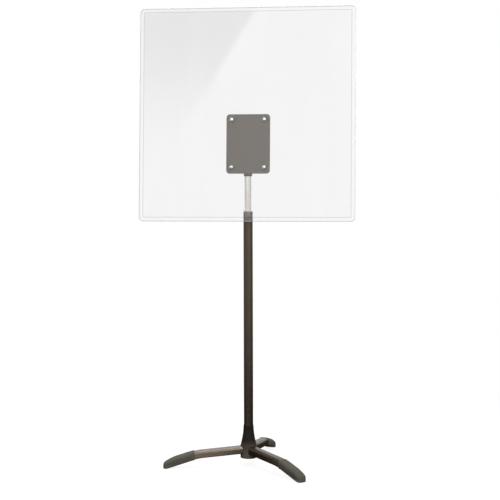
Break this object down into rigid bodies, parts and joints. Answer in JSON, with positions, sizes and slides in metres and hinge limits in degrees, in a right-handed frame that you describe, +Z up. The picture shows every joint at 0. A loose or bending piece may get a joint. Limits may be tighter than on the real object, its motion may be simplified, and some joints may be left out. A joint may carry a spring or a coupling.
{
  "type": "sign stand",
  "caption": "Free-standing floor stand holding a clear rounded panel on a tilting plate, with a telescoping swivel mast and an arched three-legged base.",
  "frame": {"origin": "on the floor, on the mast's axis", "axes": "+Z up along the mast, -Y the way the panel faces, +X to the right of a viewer in front of the panel"},
  "size_m": [0.583, 0.4081, 1.2483],
  "materials": {
    "paint": "satin metallic powder coat",
    "nickel": "bright plated",
    "zinc_steel": "zinc plated",
    "black_steel": "black oxide",
    "rubber": "matt",
    "nylon": "matt",
    "fibre": "matt fibre",
    "clear": "clear polished sheet"
  },
  "bodies": {
    "base": {"hub": "paint", "leg_left": "paint", "leg_right": "paint", "leg_rear": "paint", "leg_bolts": "zinc_steel", "leg_nuts": "zinc_steel", "foot_cap_left": "rubber", "foot_cap_right": "rubber", "foot_cap_rear": "rubber", "outer_tube": "paint", "tube_plug": "zinc_steel", "base_bolt": "zinc_steel", "base_washer": "zinc_steel", "top_bushing": "nylon"},
    "clutch": {"clutch_sleeve": "nylon", "clutch_spring": "zinc_steel"},
    "mast": {"inner_tube": "nickel", "tube_foot": "zinc_steel", "clutch_washer": "zinc_steel", "clutch_screw": "zinc_steel", "tilt_neck": "paint", "neck_pin": "zinc_steel"},
    "head": {"tilt_bracket": "paint", "bracket_rivets": "paint", "pivot_bolt": "black_steel", "friction_washers": "fibre", "pivot_washer": "black_steel", "pivot_nut": "black_steel", "back_plate": "paint", "panel_spacers": "rubber", "clear_panel": "clear", "panel_washers": "clear", "panel_screws": "zinc_steel", "panel_nuts": "black_steel"}
  },
  "joints": [
    {"name": "height", "type": "slide", "parent": "base", "child": "clutch", "axis": [0, 0, 1], "range_m": [-0.0925, 0.435]},
    {"name": "swivel", "type": "hinge", "parent": "clutch", "child": "mast", "pos_m": [0, 0, 0.2], "axis": [0, 0, 1], "continuous": true},
    {"name": "tilt", "type": "hinge", "parent": "mast", "child": "head", "pos_m": [0, 0, 0.879], "axis": [-1, 0, 0], "range_deg": [-8, 85]}
  ]
}
